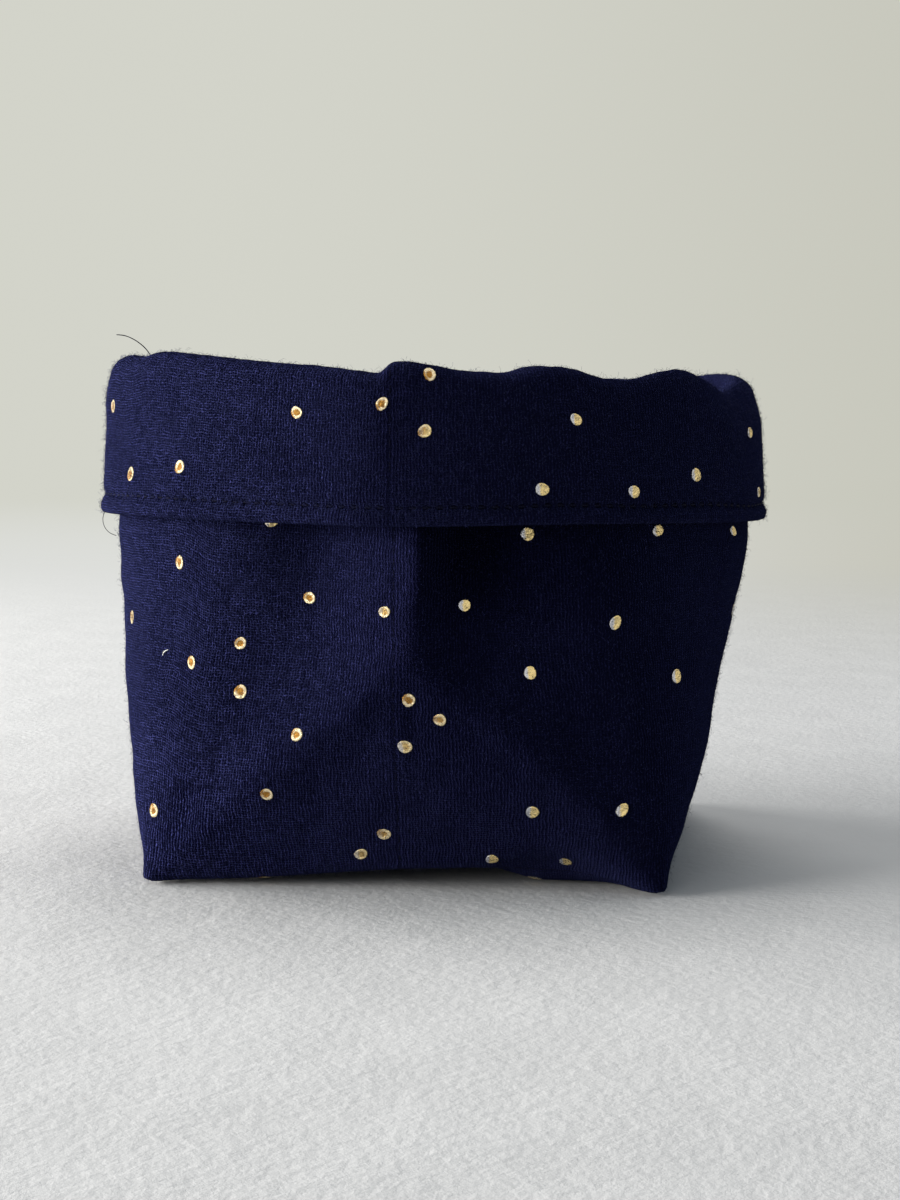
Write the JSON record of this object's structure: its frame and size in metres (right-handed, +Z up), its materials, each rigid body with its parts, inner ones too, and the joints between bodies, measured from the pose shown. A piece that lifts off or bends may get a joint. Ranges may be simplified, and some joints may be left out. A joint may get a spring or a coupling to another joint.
{
  "type": "fabric storage bin",
  "caption": "Small sewn cloth storage bin with a square base, ridged front and back seams and its mouth turned down outside as a cuff.",
  "frame": {"origin": "middle of the square base, on the surface that the bin stands on", "axes": "+Z up, -Y towards the front ridge with its side seam, +X to the right-hand side as seen from the front"},
  "size_m": [0.152, 0.1373, 0.11],
  "materials": {
    "navy_gauze": "matt crinkled double gauze, dark navy",
    "fleece": "soft white needle-punched wadding",
    "navy_thread": "spun sewing thread, dark navy",
    "gold_foil": "pressed foil print, bright pale gold"
  },
  "bodies": {
    "root": {"outer_left_panel": "navy_gauze", "outer_right_panel": "navy_gauze", "fleece_left_panel": "fleece", "fleece_right_panel": "fleece", "lining_left_panel": "navy_gauze", "lining_right_panel": "navy_gauze", "outer_bottom_seam": "navy_thread", "outer_side_seam_front": "navy_thread", "outer_side_seam_back": "navy_thread", "outer_corner_seam_front": "navy_thread", "outer_corner_seam_back": "navy_thread", "lining_bottom_seam": "navy_thread", "lining_side_seam_front": "navy_thread", "lining_side_seam_back": "navy_thread", "lining_corner_seam_front": "navy_thread", "lining_corner_seam_back": "navy_thread", "mouth_seam": "navy_thread", "hem_topstitch": "navy_thread"}
  },
  "joints": []
}
